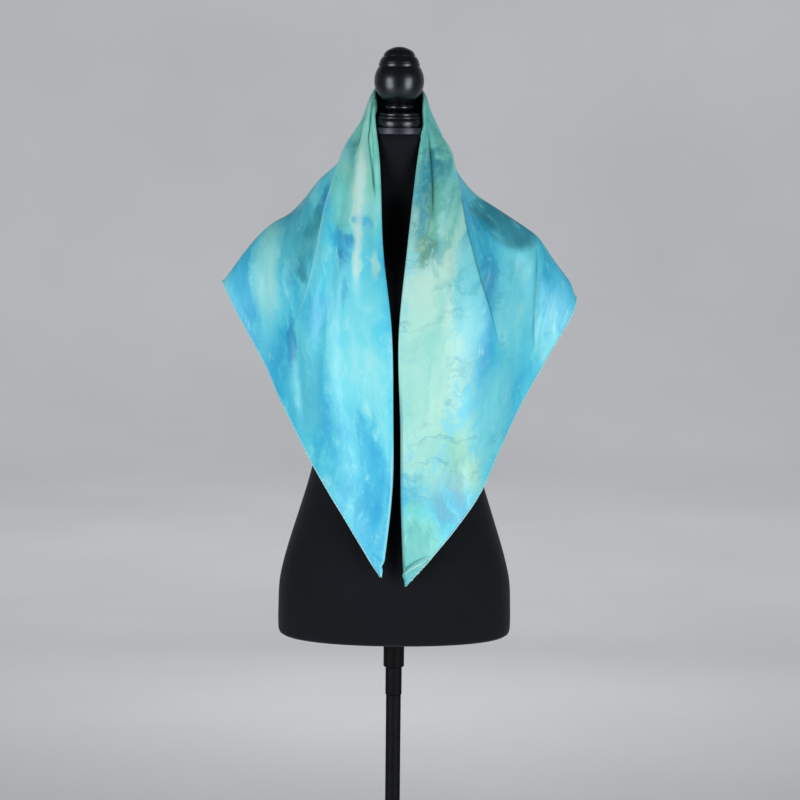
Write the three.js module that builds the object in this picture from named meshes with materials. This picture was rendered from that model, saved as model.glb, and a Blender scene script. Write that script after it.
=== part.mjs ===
// Silk square scarf folded on its diagonal, hung on a limbless dress form with a turned finial.
// Millimetres, +Z up, the form faces -Y, X to the right. Origin: centre of the base's underside.
import * as THREE from 'three';

// Cloth
const CLOTH_HALF = 1.2;        // half of the doubled silk wall
const LEG = 1100;              // side of the square, a hem's length from a front tip to the back point
const FOLD_MIDDLE = [0, 38.5, 1450]; // middle of the folded edge, behind the finial's ball
const SHARES = [0.022, ...Array.from({ length: 23 }, (_, i) => 0.055 + 0.945 * i / 22)]; // levels of a strand
const LEVELS = SHARES.length;
const STRAND_STEP = 50;        // plain spacing of strands, measured along the hem
const FORM_CLEAR = 4.8;        // least distance kept between the cloth's middle and the form
const FINIAL_CLEAR = 2.7;      // the same for the finial's ball and the neck band
const HEM_R = 1.2;             // rolled hem radius
const HEM_SIDES = 4;
const HEM_INSET = 5;           // hem ends stop this far short of a corner

// Stand and finial
const NECK_TOP = 1376;
const BAND = { r: 36, low: 1376.4, high: 1385.8 };
const BAND_ZONE = { low: 1370, high: 1396 }; // heights where the cloth passes the band and lowest ring
const FINIAL_LOW = 1386.2;
const BALL = { z: 1449.6, r: 34.5 };
const TORSO_LOW = 675;
const SOCKET = { r: 14.6, low: 627, high: 674.6 };
const SLEEVE = { r: 11.5, low: 587, high: 626.6 };
const POLE = { r: 10.5, low: 48.6, high: 586.6 };
const HUB = { r: 27, low: 12.4, high: 48.2 };
const PLATE = { r: 180, high: 12 };

// Dress form sections: height, half width, depth to the front, depth to the back
const SECTIONS = [
  { z: 675, half: 157, front: 98, back: 106 },
  { z: 678, half: 161.5, front: 102, back: 110 },
  { z: 686, half: 163.5, front: 104, back: 113 },
  { z: 715, half: 163.5, front: 106, back: 116 },
  { z: 750, half: 162, front: 107, back: 117 },
  { z: 780, half: 156, front: 106, back: 115 },
  { z: 815, half: 146, front: 102, back: 110 },
  { z: 850, half: 135, front: 97, back: 102 },
  { z: 900, half: 120, front: 90, back: 92 },
  { z: 955, half: 108, front: 84, back: 86 },
  { z: 1005, half: 104, front: 82, back: 84 },
  { z: 1055, half: 110, front: 88, back: 88 },
  { z: 1095, half: 122, front: 98, back: 92 },
  { z: 1130, half: 133, front: 104, back: 95 },
  { z: 1165, half: 146, front: 96, back: 97 },
  { z: 1195, half: 160, front: 77, back: 92 },
  { z: 1214, half: 168, front: 60, back: 84 },
  { z: 1229, half: 165, front: 49, back: 73 },
  { z: 1242, half: 153, front: 43, back: 62 },
  { z: 1254, half: 136, front: 40, back: 55 },
  { z: 1266, half: 115, front: 39, back: 51 },
  { z: 1278, half: 94, front: 38, back: 48 },
  { z: 1294, half: 73, front: 39, back: 47 },
  { z: 1314, half: 55, front: 38, back: 44 },
  { z: 1340, half: 42, front: 36.5, back: 40 },
  { z: 1376, half: 36, front: 35, back: 37 },
];
const BUST = { x: 60, z: 1128, wide: 42, high: 46, out: 13 };
const ROUND = 0.92;            // section roundness, 1 is an ellipse
const FORM_SIDES = 40;
const LONGEST_RISE = 45;       // sections further apart than this get one between

// Strands of the draped silk, each from the fold's middle down to the hem.
// along: distance of its end from the left front tip, measured along the hem
// path: points it passes after the fold's middle, on the middle of the cloth
const STRANDS = [
  { along: 0, path: [[-30, 22, 1441], [-34, -6, 1408], [-27, -44, 1335], [-22, -92, 1223], [-9, -123, 1112],
    [-6, -123, 1000], [-6, -120, 900], [-18.2, -124, 776]] },
  { along: 105, path: [[-31, 23, 1440], [-38, -7, 1402], [-40, -46, 1328], [-48, -95, 1218], [-52, -119, 1110],
    [-50, -119, 1000], [-54, -116, 920], [-70, -108, 859]] },
  { along: 200, path: [[-32, 24, 1439], [-42, -7, 1398], [-55, -42, 1322], [-76, -83, 1215], [-90, -107, 1110],
    [-96, -104, 1030], [-103, -92, 978], [-115, -76, 930]] },
  { along: 285, path: [[-33, 25, 1438], [-47, -5, 1396], [-57, -15, 1366], [-67, -28, 1336], [-87, -56, 1266],
    [-103, -82, 1178], [-124, -84, 1105], [-142, -62, 1045], [-154, -44, 1001]] },
  { along: 370, path: [[-33, 27, 1437], [-50, 3, 1395], [-66, -3, 1362], [-77, -10, 1331], [-118, -30, 1253],
    [-152, -46, 1190], [-172, -38, 1128], [-191, -16, 1073]] },
  { along: 482, path: [[-33, 28, 1436], [-52, 14, 1393], [-67, 9, 1366], [-80, 6, 1340], [-111, 9, 1309],
    [-135, 9, 1277], [-150, 9, 1263], [-171, 8, 1251], [-192, 7, 1233], [-212, 7, 1210], [-242, 15, 1169]] },
  { along: 567, path: [[-32, 31, 1435], [-47, 29, 1391], [-76, 32, 1336], [-134, 36, 1268], [-182, 38, 1208],
    [-206, 58, 1118]] },
  { along: 687, path: [[-27, 36, 1434], [-39, 42, 1389], [-68, 56, 1325], [-118, 72, 1247], [-146, 88, 1150],
    [-160, 98, 1030]] },
  { along: 820, path: [[-20, 40, 1433], [-29, 50, 1388], [-52, 71, 1312], [-82, 94, 1215], [-98, 104, 1090],
    [-108, 117, 925]] },
  { along: 954, path: [[-10, 43, 1432], [-15, 54, 1386], [-28, 78, 1308], [-43, 101, 1200], [-52, 106, 1050],
    [-54, 112, 930], [-60, 127, 815]] },
  { along: 1100, path: [[0, 44, 1432], [0, 56, 1385], [0, 80, 1305], [0, 102, 1200], [0, 103, 1010],
    [0, 117, 850], [0, 129, 775], [0, 131, 700]] },
  { along: 1246, path: [[10, 43, 1432], [15, 54, 1386], [28, 78, 1308], [43, 101, 1200], [52, 106, 1050],
    [54, 112, 930], [60, 127, 812]] },
  { along: 1380, path: [[20, 40, 1433], [29, 50, 1388], [52, 71, 1312], [82, 94, 1215], [98, 104, 1090],
    [108, 117, 920]] },
  { along: 1513, path: [[27, 36, 1433], [39, 42, 1389], [66, 56, 1325], [118, 72, 1247], [148, 88, 1150],
    [162, 98, 1025]] },
  { along: 1633, path: [[32, 30, 1433], [45, 29, 1392], [68, 33, 1340], [130, 38, 1266], [186, 40, 1206],
    [212, 54, 1108]] },
  { along: 1721, path: [[33, 27, 1433], [45, 14, 1404], [59, 10, 1375], [72, 6, 1343], [95, 9, 1301],
    [140, 9, 1270], [178, 8, 1243], [187, 8, 1236], [194, 8, 1227], [214, 7, 1198], [238, 6, 1167],
    [247, 9, 1150]] },
  { along: 1830, path: [[33, 25, 1434], [45, 3, 1396], [69, -5, 1338], [99, -22, 1269], [146, -40, 1214],
    [176, -38, 1136], [200, -20, 1056]] },
  { along: 1900, path: [[33, 24, 1435], [44, -2, 1396], [65, -14, 1344], [90, -38, 1270], [120, -66, 1190],
    [145, -72, 1100], [168, -42, 1001]] },
  { along: 1965, path: [[32, 23, 1436], [42, -5, 1396], [61, -22, 1336], [78, -51, 1262], [97, -80, 1180],
    [118, -92, 1100], [135, -84, 1010], [141, -68, 946]] },
  { along: 2030, path: [[31, 23, 1437], [40, -7, 1397], [52, -38, 1330], [67, -80, 1220], [80, -106, 1120],
    [93, -112, 1010], [106, -104, 930], [115, -96, 891]] },
  { along: 2110, path: [[31, 22, 1438], [36, -7, 1398], [39, -45, 1328], [43, -95, 1215], [44, -120, 1105],
    [50, -120, 985], [60, -119, 890], [74, -116, 834]] },
  { along: 2200, path: [[30, 21, 1439], [33, -7, 1400], [26, -48, 1322], [15.5, -92, 1223], [5, -123, 1104],
    [8.5, -121, 980], [10, -120, 880], [15, -124, 764]] },
];

// Tucks, where the front panel laps over the shoulder cloth.
// side: +1 laps toward growing `along`; lap and rise in mm; from, full, wane, end: shares of a strand
const TUCKS = [
  { along: 300, side: 1, wide: 26, lap: 15, rise: 12, from: 0.15, full: 0.34, wane: 0.52, end: 0.8 },
  { along: 1948, side: -1, wide: 22, lap: 12, rise: 11, from: 0.15, full: 0.34, wane: 0.6, end: 0.86 },
  { along: 1866, side: -1, wide: 20, lap: 8, rise: 9, from: 0.14, full: 0.28, wane: 0.34, end: 0.6 },
];

// Soft folds: rise outward, lean sideways at the crest
const FOLDS = [
  { along: 45, wide: 22, rise: -3, lean: 0, from: 0.04, full: 0.12, wane: 0.2, end: 0.5 },
  { along: 90, wide: 26, rise: 3, lean: 0, from: 0.05, full: 0.14, wane: 0.3, end: 0.7 },
  { along: 165, wide: 34, rise: 5, lean: 1, from: 0.08, full: 0.22, wane: 0.5, end: 0.95 },
  { along: 240, wide: 28, rise: -3, lean: 0, from: 0.2, full: 0.42, wane: 0.7, end: 1.1 },
  { along: 338, wide: 22, rise: -5, lean: 0, from: 0.42, full: 0.6, wane: 0.8, end: 1.2 },
  { along: 430, wide: 30, rise: 3, lean: 0, from: 0.4, full: 0.65, wane: 0.85, end: 1.2 },
  { along: 612, wide: 38, rise: 12, lean: -5, from: 0.36, full: 0.75, wane: 1.1, end: 1.3 },
  { along: 735, wide: 43, rise: 23, lean: -10, from: 0.2, full: 0.58, wane: 1.1, end: 1.3 },
  { along: 880, wide: 45, rise: 28, lean: -9, from: 0.17, full: 0.55, wane: 1.1, end: 1.3 },
  { along: 1022, wide: 42, rise: 24, lean: -4, from: 0.17, full: 0.55, wane: 1.1, end: 1.3 },
  { along: 1176, wide: 44, rise: 25, lean: 5, from: 0.17, full: 0.55, wane: 1.1, end: 1.3 },
  { along: 1325, wide: 46, rise: 28, lean: 9, from: 0.17, full: 0.55, wane: 1.1, end: 1.3 },
  { along: 1470, wide: 43, rise: 22, lean: 10, from: 0.2, full: 0.58, wane: 1.1, end: 1.3 },
  { along: 1592, wide: 38, rise: 12, lean: 6, from: 0.36, full: 0.75, wane: 1.1, end: 1.3 },
  { along: 1775, wide: 26, rise: 4, lean: 0, from: 0.5, full: 0.62, wane: 0.8, end: 1.1 },
  { along: 2060, wide: 32, rise: 3.5, lean: 0, from: 0.1, full: 0.25, wane: 0.5, end: 0.95 },
  { along: 2140, wide: 24, rise: -3, lean: 0, from: 0.12, full: 0.2, wane: 0.3, end: 0.5 },
];

const clamp01 = (x) => Math.min(1, Math.max(0, x));
const smooth = (a, b, x) => { const s = clamp01((x - a) / (b - a)); return s * s * (3 - 2 * s); };
const fade = (f, t) => smooth(f.from, f.full, t) * (1 - smooth(f.wane, f.end, t));

// Cubic through rows of numbers at rising keys, with a corner at one key if given
function through(keys, rows, key, corner = null) {
  const last = keys.length - 1;
  let k = 0;
  while (k < last - 1 && key > keys[k + 1]) k++;
  const slope = (i) => {
    const lo = keys[i] === corner && i === k ? i : Math.max(0, i - 1);
    const hi = keys[i] === corner && i === k + 1 ? i : Math.min(last, i + 1);
    return rows[0].map((_, c) => (rows[hi][c] - rows[lo][c]) / (keys[hi] - keys[lo]));
  };
  const span = keys[k + 1] - keys[k], s = (key - keys[k]) / span;
  const m0 = slope(k), m1 = slope(k + 1);
  const h = [2 * s ** 3 - 3 * s ** 2 + 1, s ** 3 - 2 * s ** 2 + s, -2 * s ** 3 + 3 * s ** 2, s ** 3 - s ** 2];
  return rows[0].map((_, c) => h[0] * rows[k][c] + h[1] * span * m0[c] + h[2] * rows[k + 1][c] + h[3] * span * m1[c]);
}

// Dress form outline at a height, [half width, front, back]
const sectionKeys = SECTIONS.map((s) => s.z);
const sectionRows = SECTIONS.map((s) => [s.half, s.front, s.back]);
const sectionAt = (z) => through(sectionKeys, sectionRows, Math.min(NECK_TOP, Math.max(TORSO_LOW, z)));

const bustAt = (x, z) => [-1, 1].reduce((sum, side) => {
  const dx = (x - side * BUST.x) / BUST.wide, dz = (z - BUST.z) / BUST.high;
  return sum + BUST.out * Math.exp(-dx * dx - dz * dz);
}, 0);

function formPoint(z, angle) {
  const [half, front, back] = sectionAt(z);
  const c = Math.cos(angle), s = Math.sin(angle);
  const x = half * Math.sign(c) * Math.abs(c) ** ROUND;
  const y = (s > 0 ? back : front) * Math.sign(s) * Math.abs(s) ** ROUND;
  return new THREE.Vector3(x, s < 0 ? y - bustAt(x, z) * -s : y, z);
}

// Keeps a cloth point clear of the finial's ball, the neck band and the form
function clearOfForm(p) {
  const fromBall = p.clone().sub(new THREE.Vector3(0, 0, BALL.z)), away = fromBall.length();
  const leastAway = BALL.r + FINIAL_CLEAR;
  if (away < leastAway) return p.addScaledVector(fromBall, leastAway / away - 1);
  if (p.z > BAND_ZONE.low && p.z < BAND_ZONE.high) {
    const reach = Math.hypot(p.x, p.y), least = BAND.r + FINIAL_CLEAR;
    return reach < least ? p.set(p.x * least / reach, p.y * least / reach, p.z) : p;
  }
  if (p.z > NECK_TOP || p.z < TORSO_LOW) return p;
  const [half, front, back] = sectionAt(p.z);
  const a = half + FORM_CLEAR, d = (p.y > 0 ? back : front + bustAt(p.x, p.z)) + FORM_CLEAR;
  const q = 2 / ROUND;
  const size = Math.abs(p.x / a) ** q + Math.abs(p.y / d) ** q;
  if (size >= 1 || size < 1e-6) return p;
  const grow = size ** (-1 / q);
  return p.set(p.x * grow, p.y * grow, p.z);
}

// The silk's middle surface before its folds, by hem distance and share of the strand
const curves = STRANDS.map((row) => {
  const curve = new THREE.CatmullRomCurve3(
    [FOLD_MIDDLE, ...row.path].map((p) => new THREE.Vector3(...p)), false, 'centripetal');
  curve.arcLengthDivisions = 160;
  return curve;
});
const alongs = STRANDS.map((row) => row.along);
const levelRows = new Map();
function rowsAt(t) {
  const key = t.toFixed(5);
  if (!levelRows.has(key)) levelRows.set(key, curves.map((c) => c.getPointAt(clamp01(t)).toArray()));
  return levelRows.get(key);
}
const plain = (along, t) => new THREE.Vector3(...through(alongs, rowsAt(t), along, LEG));

const STEP_T = 0.004, STEP_A = 2;
function frameAt(point, along, t) {
  const t0 = Math.max(0, t - STEP_T), t1 = Math.min(1, t + STEP_T);
  const a0 = Math.max(0, along - STEP_A), a1 = Math.min(2 * LEG, along + STEP_A);
  const down = point(along, t1).sub(point(along, t0)).normalize();
  const round = point(a1, t).sub(point(a0, t)).normalize();
  const out = round.clone().cross(down).normalize();
  const past = out.clone().cross(round).normalize();    // out of the hem, square to it
  const aside = down.clone().cross(out).normalize();    // out of a strand, square to it
  return { down, round, out, past, aside };
}

function tuckOf(tuck, along, t) {
  const x = tuck.side * (along - tuck.along) / tuck.wide, share = fade(tuck, t);
  const ease = (c) => smooth(c - 0.55, c + 0.55, x);
  const height = (1 - 0.5 * ease(-1) - 0.5 * ease(1)) * (x < 0 ? Math.exp(-((x / 5) ** 2)) : 1);
  return { shift: -tuck.side * tuck.lap * share * x * Math.exp(0.5 - x * x / 2), height: tuck.rise * share * height };
}

function silk(along, t) {
  const { round, out } = frameAt(plain, along, t);
  const p = plain(along, t);
  let shift = 0, height = 0;
  for (const tuck of TUCKS) {
    const part = tuckOf(tuck, along, t);
    shift += part.shift;
    height += part.height;
  }
  for (const fold of FOLDS) {
    const bump = Math.exp(-(((along - fold.along) / fold.wide) ** 2)) * fade(fold, t);
    shift += fold.lean * bump;
    height += fold.rise * bump;
  }
  p.addScaledVector(round, shift).addScaledVector(out, height);
  return clearOfForm(p);
}

// Strand places: even ones, with closer ones through each tuck and deep fold, in widths of it
const TUCK_STOPS = [-2.1, -1.6, -1.25, -0.95, -0.65, -0.3, 0, 0.3, 0.65, 0.95, 1.25, 1.6, 2.1];
const FOLD_STOPS = [-1.1, -0.5, 0, 0.5, 1.1];
const DEEP_FOLD = 8;
const LEAST_STEP = 5.5;
function strandPlaces() {
  const places = [];
  for (let a = 0; a <= 2 * LEG + 1; a += STRAND_STEP) places.push(Math.min(a, 2 * LEG));
  for (const tuck of TUCKS) places.push(...TUCK_STOPS.map((x) => tuck.along + x * tuck.wide));
  for (const fold of FOLDS.filter((f) => f.rise > DEEP_FOLD)) {
    places.push(...FOLD_STOPS.map((x) => fold.along + x * fold.wide));
  }
  places.sort((a, b) => a - b);
  const kept = [0];
  for (const a of places) if (a - kept.at(-1) > LEAST_STEP && a < 2 * LEG - LEAST_STEP) kept.push(a);
  kept.push(2 * LEG);
  return kept;
}

function meshOf(name, points, faces, material) {
  const geometry = new THREE.BufferGeometry();
  geometry.setAttribute('position', new THREE.Float32BufferAttribute(points.flatMap((p) => [p.x, p.y, p.z]), 3));
  geometry.setIndex(faces.flat());
  geometry.computeVertexNormals();
  const mesh = new THREE.Mesh(geometry, material);
  mesh.name = name;
  return mesh;
}

const materials = {
  silk: new THREE.MeshStandardMaterial({ name: 'silk', color: 0x4fc4dc, roughness: 0.38, side: THREE.DoubleSide }),
  hem: new THREE.MeshStandardMaterial({ name: 'silk_hem', color: 0x9fdde0, roughness: 0.5 }),
  jersey: new THREE.MeshStandardMaterial({ name: 'jersey', color: 0x14151a, roughness: 0.95 }),
  lacquer: new THREE.MeshStandardMaterial({ name: 'lacquer', color: 0x0b0b0d, roughness: 0.25 }),
  band: new THREE.MeshStandardMaterial({ name: 'band_metal', color: 0x5a5c60, roughness: 0.35, metalness: 0.8 }),
  pole: new THREE.MeshStandardMaterial({ name: 'pole_paint', color: 0x101013, roughness: 0.4, metalness: 0.2 }),
};

const TOP_OUT = new THREE.Vector3(0, 0.93, 0.37).normalize(); // the cloth's outward side at the fold's middle
const TOP_UP = new THREE.Vector3(0, -0.3, 1).normalize();     // the folded edge's upward side there

// One wall of folded silk: outer face, inner face, and rounded edges all the way about
function scarfCloth() {
  const places = strandPlaces(), points = [], faces = [];
  const grid = (side, i, j) => 2 + side * places.length * LEVELS + i * LEVELS + j;
  const frames = places.map((along) => SHARES.map((t) => {
    const middle = silk(along, t);
    return { middle, ...frameAt(silk, along, t) };
  }));
  const top = new THREE.Vector3(...FOLD_MIDDLE);
  points.push(top.clone().addScaledVector(TOP_OUT, CLOTH_HALF), top.clone().addScaledVector(TOP_OUT, -CLOTH_HALF));
  for (const sign of [1, -1]) {
    for (const f of frames.flat()) points.push(f.middle.clone().addScaledVector(f.out, sign * CLOTH_HALF));
  }
  const quad = (a, b, c, d) => faces.push([a, c, b], [a, d, c]);
  const last = places.length - 1;
  for (let i = 0; i < last; i++) {
    faces.push([0, grid(0, i + 1, 0), grid(0, i, 0)], [1, grid(1, i, 0), grid(1, i + 1, 0)]);
    for (let j = 0; j < LEVELS - 1; j++) {
      quad(grid(0, i, j), grid(0, i, j + 1), grid(0, i + 1, j + 1), grid(0, i + 1, j));
      quad(grid(1, i, j), grid(1, i + 1, j), grid(1, i + 1, j + 1), grid(1, i, j + 1));
    }
  }
  // The rim's points lie half a wall out of the edge
  const addRim = (f, direction) => points.push(f.middle.clone().addScaledVector(direction, CLOTH_HALF)) - 1;
  const left = frames[0], right = frames[last];
  const loop = [];
  for (let j = 0; j < LEVELS; j++) {
    loop.push({ o: grid(0, 0, j), n: grid(1, 0, j), r: addRim(left[j], left[j].aside.clone().negate()) });
  }
  for (let i = 1; i < last; i++) {
    const f = frames[i][LEVELS - 1];
    loop.push({ o: grid(0, i, LEVELS - 1), n: grid(1, i, LEVELS - 1), r: addRim(f, f.past) });
  }
  for (let j = LEVELS - 1; j >= 0; j--) {
    loop.push({ o: grid(0, last, j), n: grid(1, last, j), r: addRim(right[j], right[j].aside) });
  }
  const topRim = points.push(top.clone().addScaledVector(TOP_UP, CLOTH_HALF)) - 1;
  loop.push({ o: 0, n: 1, r: topRim });
  loop.forEach((a, k) => {
    const b = loop[(k + 1) % loop.length];
    quad(a.o, a.r, b.r, b.o);
    quad(a.r, a.n, b.n, b.r);
  });
  return meshOf('scarf_cloth', points, faces, materials.silk);
}

// A rolled hem along one side of the square, on the outer or the under layer
function rolledHem(name, start, end, offset) {
  const low = Math.min(start, end) + HEM_INSET, high = Math.max(start, end) - HEM_INSET;
  const places = [low, ...strandPlaces().filter((a) => a > low + 4 && a < high - 4), high];
  const points = [], faces = [];
  const centres = places.map((along) => {
    const f = frameAt(silk, along, 1);
    const centre = silk(along, 1).addScaledVector(f.out, offset.out).addScaledVector(f.past, offset.past);
    for (let k = 0; k < HEM_SIDES; k++) {
      const angle = 2 * Math.PI * k / HEM_SIDES;
      points.push(centre.clone().addScaledVector(f.out, HEM_R * Math.cos(angle))
        .addScaledVector(f.past, -HEM_R * Math.sin(angle)));
    }
    return centre;
  });
  const last = places.length - 1;
  const first = points.push(centres[0]) - 1, final = points.push(centres[last]) - 1;
  for (let i = 0; i < last; i++) {
    for (let k = 0; k < HEM_SIDES; k++) {
      const a = i * HEM_SIDES + k, b = i * HEM_SIDES + (k + 1) % HEM_SIDES;
      faces.push([a, b, b + HEM_SIDES], [a, b + HEM_SIDES, a + HEM_SIDES]);
    }
  }
  for (let k = 0; k < HEM_SIDES; k++) {
    const b = (k + 1) % HEM_SIDES, far = last * HEM_SIDES;
    faces.push([first, b, k], [final, far + k, far + b]);
  }
  return meshOf(name, points, faces, materials.hem);
}

// Dress form body, lofted through its sections, flat below and at the neck
function formTorso() {
  const heights = [];
  SECTIONS.forEach((s, i) => {
    heights.push(s.z);
    const next = SECTIONS[i + 1];
    if (next && next.z - s.z > LONGEST_RISE) heights.push((s.z + next.z) / 2);
  });
  const points = [], faces = [];
  const angles = Array.from({ length: FORM_SIDES }, (_, k) => 2 * Math.PI * k / FORM_SIDES);
  for (const z of heights) points.push(...angles.map((angle) => formPoint(z, angle)));
  const low = points.push(new THREE.Vector3(0, 0, TORSO_LOW)) - 1;
  const high = points.push(new THREE.Vector3(0, 0, NECK_TOP)) - 1;
  const topRow = (heights.length - 1) * FORM_SIDES;
  for (let k = 0; k < FORM_SIDES; k++) {
    const n = (k + 1) % FORM_SIDES;
    for (let j = 0; j < heights.length - 1; j++) {
      const a = j * FORM_SIDES;
      faces.push([a + k, a + n, a + FORM_SIDES + n], [a + k, a + FORM_SIDES + n, a + FORM_SIDES + k]);
    }
    faces.push([low, n, k], [high, topRow + k, topRow + n]);
  }
  return meshOf('form_torso', points, faces, materials.jersey);
}

// Turned piece from radius and height pairs, axis upright
function turned(name, profile, sides, material) {
  const geometry = new THREE.LatheGeometry(profile.map(([r, z]) => new THREE.Vector2(r, z)), sides);
  geometry.rotateX(Math.PI / 2);
  const mesh = new THREE.Mesh(geometry, material);
  mesh.name = name;
  return mesh;
}

const post = (name, dims, bevel, sides, material) => turned(name, [
  [0, dims.low], [dims.r - bevel, dims.low], [dims.r, dims.low + bevel],
  [dims.r, dims.high - bevel], [dims.r - bevel, dims.high], [0, dims.high]], sides, material);

function finial() {
  const ball = [];
  for (let angle = -60; angle <= 36; angle += 16) {
    const a = angle * Math.PI / 180;
    ball.push([BALL.r * Math.cos(a), BALL.z + BALL.r * Math.sin(a)]);
  }
  return turned('finial', [
    [0, FINIAL_LOW], [31, FINIAL_LOW], [33.1, 1388], [33.7, 1391], [32.9, 1394], [30.6, 1396.2],
    [31.6, 1398.6], [30.6, 1400.4], [28.2, 1401.5], [28.5, 1403.4], [25.2, 1405.9], [19.4, 1408.2],
    [18.2, 1410.6], [20.8, 1412.2], [21.3, 1414.4], [20.4, 1416.6], [17.4, 1418.2], ...ball,
    [27, 1471.4], [28.6, 1474.4], [28.4, 1478.2], [26.2, 1481.8], [22.4, 1485.4], [20.6, 1489.4],
    [15, 1493.6], [8.4, 1496], [0, 1496.6]], 22, materials.lacquer);
}

function basePlate() {
  return turned('base_plate', [[0, 0], [PLATE.r - 2, 0], [PLATE.r, 2], [PLATE.r, 7], [PLATE.r - 3, 10],
    [PLATE.r - 10, PLATE.high], [0, PLATE.high]], 40, materials.pole);
}

// Hem centres from the wall's edge: off its outer or inner face, and past its rim
const outerHem = { out: 1.4, past: 2.1 };
const underHem = { out: -1.4, past: 2.3 };

const part = new THREE.Group();
part.name = 'silk_scarf_on_dress_form';
part.add(
  scarfCloth(),
  rolledHem('hem_left_outer', 0, LEG, outerHem),
  rolledHem('hem_left_under', 0, LEG, underHem),
  rolledHem('hem_right_outer', 2 * LEG, LEG, outerHem),
  rolledHem('hem_right_under', 2 * LEG, LEG, underHem),
  formTorso(),
  post('neck_band', BAND, 1, 28, materials.band),
  finial(),
  post('pole_socket', SOCKET, 1.2, 24, materials.pole),
  post('pole_sleeve', SLEEVE, 0.8, 20, materials.pole),
  post('pole', POLE, 0.6, 20, materials.pole),
  post('base_hub', HUB, 3, 24, materials.pole),
  basePlate(),
);

export default part;
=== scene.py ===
"""Silk square scarf hung shawl-fashion on a limbless dress form with a turned finial.

Metres, +Z up, the form faces -Y. Tables are in millimetres, colours in 0..255 sRGB.
"""

import logging
import math
from collections.abc import Callable
from dataclasses import dataclass
from enum import Enum

import bmesh
import bpy
import numpy as np
from mathutils import Matrix, Vector


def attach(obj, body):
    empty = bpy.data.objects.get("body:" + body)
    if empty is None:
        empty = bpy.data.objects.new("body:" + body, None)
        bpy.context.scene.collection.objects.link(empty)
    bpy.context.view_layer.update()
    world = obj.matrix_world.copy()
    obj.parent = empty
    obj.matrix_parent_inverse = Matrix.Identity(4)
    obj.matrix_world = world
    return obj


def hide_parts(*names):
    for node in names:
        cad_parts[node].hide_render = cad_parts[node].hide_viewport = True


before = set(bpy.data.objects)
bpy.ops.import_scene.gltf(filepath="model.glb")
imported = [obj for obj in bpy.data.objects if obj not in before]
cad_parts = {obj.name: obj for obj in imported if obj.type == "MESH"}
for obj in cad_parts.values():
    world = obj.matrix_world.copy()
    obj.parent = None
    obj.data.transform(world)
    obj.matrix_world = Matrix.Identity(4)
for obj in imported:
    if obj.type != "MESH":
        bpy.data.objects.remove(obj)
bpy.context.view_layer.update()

logging.basicConfig(level=logging.INFO, format="%(message)s")
LOG = logging.getLogger("silk_square")
Array, Piece, Finish, Socket = np.ndarray, bpy.types.Object, bpy.types.Material, bpy.types.NodeSocket
Triple = tuple[float, float, float]
MM = 0.001
BODY = "root"

LEG = 1100.0  # side of the square
FOLD_HALF = LEG / math.sqrt(2)  # half of the folded edge, and the triangle's depth
UV_SPAN = 1.6  # metres of cloth across the UV map's 0..1
FOLD_MIDDLE = np.array([0.0, 38.5, 1450.0])
BALL_Z, BALL_R = 1449.6, 34.5
BAND_R, BAND_LOW, BAND_HIGH = 36.0, 1376.4, 1385.8
NECK_TOP, TORSO_LOW = 1376.0, 675.0
SHARP_BEND = math.radians(38)  # a turning's edges that bend more are shaded sharp


def smooth(low: float, high: float, x: Array) -> Array:
    """Smooth step of x from 0 at low to 1 at high."""
    s = np.clip((np.asarray(x, float) - low) / (high - low), 0, 1)
    return s * s * (3 - 2 * s)


def bell(x: Array, wide: float) -> Array:
    """Bell curve of x, 1 at 0 and 1/e at the width."""
    return np.exp(-((x / wide) ** 2))


def spaced(at: Array, density: Array, count: int) -> Array:
    """Places along a range, closer where the density is higher."""
    total = np.concatenate([[0], np.cumsum((density[1:] + density[:-1]) / 2)])
    return np.interp(np.linspace(0, total[-1], count), total, at)


def to_tip(along: Array) -> Array:
    """Hem distance to the nearer front tip."""
    return np.minimum(along, 2 * LEG - along)


def on_cloth(along: Array, share: Array) -> tuple[Array, Array]:
    """Place on the flat cloth in mm, along the fold and square to it, of a hem distance and strand share."""
    high = to_tip(along) / math.sqrt(2)
    return np.where(np.asarray(along) <= LEG, -1.0, 1.0) * (FOLD_HALF - high) * share, high * share


def uv_place(u: Array, w: Array) -> Array:
    """UV place of a cloth place in mm."""
    return np.stack([u, w], axis=-1) * MM / UV_SPAN + 0.5


def unit(v: Array) -> Array:
    """Vectors scaled to length 1 along the last axis."""
    return v / np.maximum(np.linalg.norm(v, axis=-1, keepdims=True), 1e-9)


def cubic(s: Array, p0: Array, m0: Array, p1: Array, m1: Array) -> Array:
    """Cubic from p0 at s = 0 to p1 at s = 1, with end slopes m0 and m1."""
    return ((2 * s**3 - 3 * s**2 + 1) * p0 + (s**3 - 2 * s**2 + s) * m0
            + (-2 * s**3 + 3 * s**2) * p1 + (s**3 - s**2) * m1)


def through(keys: Array, rows: Array, at: Array, corner: float | None = None) -> Array:
    """Cubic curve through rows of numbers at rising keys.

    Args:
        keys: One key for each row.
        rows: Values, the keys on the second last axis.
        at: Keys to read the curve at.
        corner: Key where the curve may bend sharply.

    Returns:
        Values with the asked keys on the second last axis.
    """
    last = len(keys) - 1
    at = np.asarray(at, float)
    k = np.clip(np.searchsorted(keys, at, side="left") - 1, 0, last - 1)

    def slope(i: Array, starts: bool) -> Array:
        """Slope at row i, one-sided where a corner is."""
        at_corner = np.isclose(keys[i], corner) if corner is not None else np.zeros(len(i), bool)
        lo = np.where(at_corner & starts, i, np.maximum(0, i - 1))
        hi = np.where(at_corner & (not starts), i, np.minimum(last, i + 1))
        return (rows[..., hi, :] - rows[..., lo, :]) / (keys[hi] - keys[lo])[:, None]

    span = (keys[k + 1] - keys[k])[:, None]
    s = ((at - keys[k])[:, None]) / span
    return cubic(s, rows[..., k, :], span * slope(k, True), rows[..., k + 1, :], span * slope(k + 1, False))


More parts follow.
